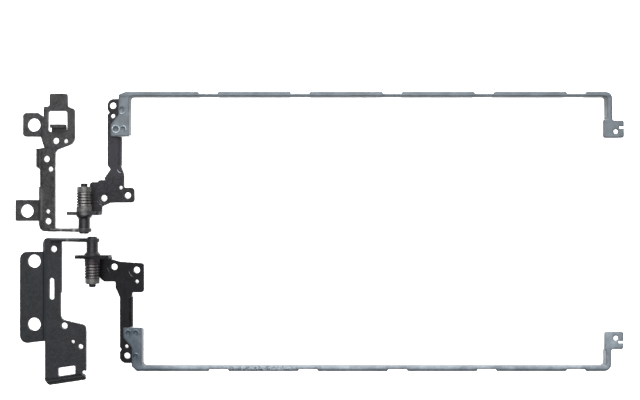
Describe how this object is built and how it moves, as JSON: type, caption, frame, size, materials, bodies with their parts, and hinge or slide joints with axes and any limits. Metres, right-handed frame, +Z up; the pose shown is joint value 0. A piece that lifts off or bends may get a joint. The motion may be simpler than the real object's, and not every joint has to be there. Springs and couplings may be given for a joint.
{
  "type": "pair of laptop hinges",
  "caption": "Pair of laptop screen hinges opened flat: folded black brackets on friction shafts with disc springs, and thin plated side rails that end in screw tabs.",
  "frame": {"origin": "middle of the pair's footprint, on the table", "axes": "+X along the side rails away from the shafts, +Y along the left hinge's shaft towards its nut, +Z up"},
  "size_m": [0.2716, 0.131, 0.0124],
  "materials": {
    "blackened_steel": "satin black coating",
    "blackened_shaft_steel": "smooth black oxide",
    "zinc_plated_steel": "zinc plated, blue-grey",
    "spring_steel": "oiled spring steel",
    "plain_steel": "plain steel"
  },
  "bodies": {
    "base": {"left_base_bracket": "blackened_steel", "left_disc_spring_1": "spring_steel", "left_disc_spring_10": "spring_steel", "left_disc_spring_2": "spring_steel", "left_disc_spring_3": "spring_steel", "left_disc_spring_4": "spring_steel", "left_disc_spring_5": "spring_steel", "left_disc_spring_6": "spring_steel", "left_disc_spring_7": "spring_steel", "left_disc_spring_8": "spring_steel", "left_disc_spring_9": "spring_steel", "left_hinge_shaft": "blackened_shaft_steel", "left_keyed_washer": "plain_steel", "left_lock_nut": "plain_steel", "right_base_bracket": "blackened_steel", "right_disc_spring_1": "spring_steel", "right_disc_spring_10": "spring_steel", "right_disc_spring_2": "spring_steel", "right_disc_spring_3": "spring_steel", "right_disc_spring_4": "spring_steel", "right_disc_spring_5": "spring_steel", "right_disc_spring_6": "spring_steel", "right_disc_spring_7": "spring_steel", "right_disc_spring_8": "spring_steel", "right_disc_spring_9": "spring_steel", "right_hinge_shaft": "blackened_shaft_steel", "right_keyed_washer": "plain_steel", "right_lock_nut": "plain_steel"},
    "left_display": {"left_display_bracket": "blackened_steel", "left_friction_washer": "plain_steel", "left_side_rail": "zinc_plated_steel"},
    "right_display": {"right_display_bracket": "blackened_steel", "right_friction_washer": "plain_steel", "right_side_rail": "zinc_plated_steel"}
  },
  "joints": [
    {"name": "left_hinge", "type": "hinge", "parent": "base", "child": "left_display", "pos_m": [-0.10315, 0.0085, 0.0084], "axis": [0, -1, 0], "range_deg": [0, 180]},
    {"name": "right_hinge", "type": "hinge", "parent": "base", "child": "right_display", "pos_m": [-0.09955, -0.0047, 0.0084], "axis": [0, -1, 0], "range_deg": [0, 180]}
  ]
}
